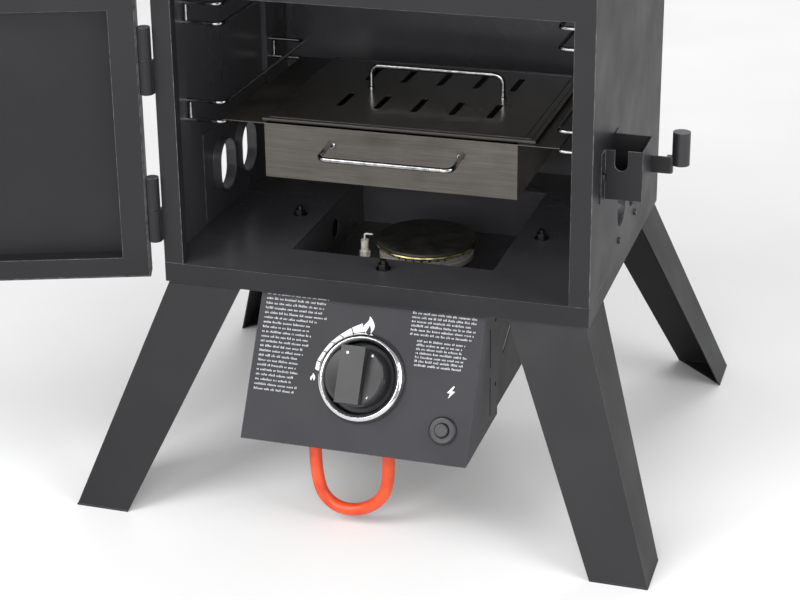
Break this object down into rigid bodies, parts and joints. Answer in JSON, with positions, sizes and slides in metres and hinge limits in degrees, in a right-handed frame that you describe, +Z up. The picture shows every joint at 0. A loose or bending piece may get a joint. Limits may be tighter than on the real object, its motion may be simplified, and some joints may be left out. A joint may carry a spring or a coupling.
{
  "type": "cabinet smoker",
  "caption": "Upright gas cabinet smoker on splayed legs, with doors open, slide-out trays and grates, a burner in a sunken well and a tilted control panel with knob and igniter.",
  "frame": {"origin": "on the floor, at the middle of the four feet, under the middle of the cabinet", "axes": "+X to the right of someone facing the doors, +Y to the rear, +Z up"},
  "size_m": [0.9304, 0.5995, 1.095],
  "materials": {
    "powder_coat": "fine textured satin powder coat",
    "inner_enamel": "satin black enamel",
    "chrome_wire": "bright chrome plate",
    "stainless": "brushed stainless sheet",
    "lid_enamel": "smooth dark enamel",
    "burner_cap": "matt black enamel",
    "burner_steel": "bright stamped steel",
    "plain_steel": "zinc plated steel",
    "black_fastener": "black oxide steel",
    "ceramic": "glazed white ceramic",
    "brass": "machined brass",
    "hose_rubber": "smooth orange gas hose",
    "black_plastic": "satin moulded black plastic",
    "bezel_chrome": "polished chrome plate",
    "dial": "steel dial case"
  },
  "bodies": {
    "cabinet": {"floor_pan": "inner_enamel", "side_panel_left": "powder_coat", "side_panel_right": "powder_coat", "vent_plate_left": "inner_enamel", "vent_plate_right": "inner_enamel", "back_panel": "powder_coat", "top_panel": "powder_coat", "front_frame": "powder_coat", "flue_collar": "powder_coat", "leg_front_left": "powder_coat", "leg_front_right": "powder_coat", "leg_rear_left": "powder_coat", "leg_rear_right": "powder_coat", "leg_bolts": "black_fastener", "floor_bolts": "black_fastener", "burner_well": "inner_enamel", "burner_base": "burner_steel", "burner_ring": "burner_steel", "burner_cap": "burner_cap", "igniter_electrode": "ceramic", "burner_shroud": "powder_coat", "control_panel": "powder_coat", "knob_bezel": "bezel_chrome", "gas_valve_body": "brass", "piezo_body": "black_plastic", "gas_inlet_fitting": "brass", "hose_fittings": "brass", "gas_hose": "hose_rubber", "burner_pipe": "plain_steel", "rail_posts": "inner_enamel", "rails_left": "chrome_wire", "rails_right": "chrome_wire", "rail_ties": "chrome_wire", "regulator_pocket": "powder_coat", "strap_arm": "powder_coat", "hose_clip": "black_plastic", "side_screws": "black_fastener", "hinge_barrels_fixed": "powder_coat", "hinge_pins": "plain_steel"},
    "lower_door": {"lower_door_skin": "powder_coat", "lower_door_liner": "powder_coat", "lower_door_knuckles": "powder_coat"},
    "lower_latch": {"lower_door_latch": "black_plastic"},
    "upper_door": {"upper_door_skin": "powder_coat", "upper_door_liner": "powder_coat", "upper_door_knuckles": "powder_coat", "thermometer": "dial"},
    "upper_latch": {"upper_door_latch": "black_plastic"},
    "valve_stem": {"valve_spindle": "plain_steel"},
    "knob": {"gas_knob": "black_plastic"},
    "igniter_plunger": {"piezo_button": "black_plastic"},
    "chip_box": {"chip_box": "stainless", "chip_box_handle": "chrome_wire"},
    "chip_lid": {"chip_box_lid": "lid_enamel", "lid_handle": "chrome_wire"},
    "water_pan": {"water_pan": "lid_enamel"},
    "grate_lower": {"grate_lower": "chrome_wire"},
    "grate_middle": {"grate_middle": "chrome_wire"},
    "grate_upper": {"grate_upper": "chrome_wire"},
    "damper": {"flue_damper": "plain_steel"}
  },
  "joints": [
    {"name": "lower_door_swing", "type": "hinge", "parent": "cabinet", "child": "lower_door", "pos_m": [-0.2215, -0.184, 0.37825], "axis": [0, 0, -1], "range_deg": [-160, 20]},
    {"name": "upper_door_swing", "type": "hinge", "parent": "cabinet", "child": "upper_door", "pos_m": [-0.2215, -0.184, 0.796], "axis": [0, 0, -1], "range_deg": [-160, 20]},
    {"name": "lower_latch_turn", "type": "hinge", "parent": "lower_door", "child": "lower_latch", "pos_m": [-0.60084, -0.31568, 0.37825], "axis": [0.342, -0.9397, 0], "range_deg": [0, 90]},
    {"name": "upper_latch_turn", "type": "hinge", "parent": "upper_door", "child": "upper_latch", "pos_m": [-0.60084, -0.31568, 0.796], "axis": [0.342, -0.9397, 0], "range_deg": [0, 90]},
    {"name": "gas_valve_turn", "type": "hinge", "parent": "cabinet", "child": "valve_stem", "pos_m": [0, -0.211, 0.15965], "axis": [0, -0.866, 0.5], "range_deg": [0, 120]},
    {"name": "knob_push", "type": "slide", "parent": "valve_stem", "child": "knob", "axis": [0, 0.866, -0.5], "range_m": [0, 0.003], "stiffness_N_per_m": 400, "springref_m": -0.003},
    {"name": "igniter_press", "type": "slide", "parent": "cabinet", "child": "igniter_plunger", "axis": [0, 0.866, -0.5], "range_m": [0, 0.004], "stiffness_N_per_m": 300, "springref_m": -0.004},
    {"name": "chip_box_slide", "type": "slide", "parent": "cabinet", "child": "chip_box", "axis": [0, -1, 0], "range_m": [0, 0.2]},
    {"name": "chip_lid_lift", "type": "slide", "parent": "chip_box", "child": "chip_lid", "axis": [0, 0, 1], "range_m": [0, 0.06]},
    {"name": "water_pan_slide", "type": "slide", "parent": "cabinet", "child": "water_pan", "axis": [0, -1, 0], "range_m": [0, 0.2]},
    {"name": "grate_lower_slide", "type": "slide", "parent": "cabinet", "child": "grate_lower", "axis": [0, -1, 0], "range_m": [0, 0.2]},
    {"name": "grate_middle_slide", "type": "slide", "parent": "cabinet", "child": "grate_middle", "axis": [0, -1, 0], "range_m": [0, 0.2]},
    {"name": "grate_upper_slide", "type": "slide", "parent": "cabinet", "child": "grate_upper", "axis": [0, -1, 0], "range_m": [0, 0.2]},
    {"name": "damper_turn", "type": "hinge", "parent": "cabinet", "child": "damper", "pos_m": [0, 0, 1.075], "axis": [1, 0, 0], "range_deg": [0, 90]}
  ]
}
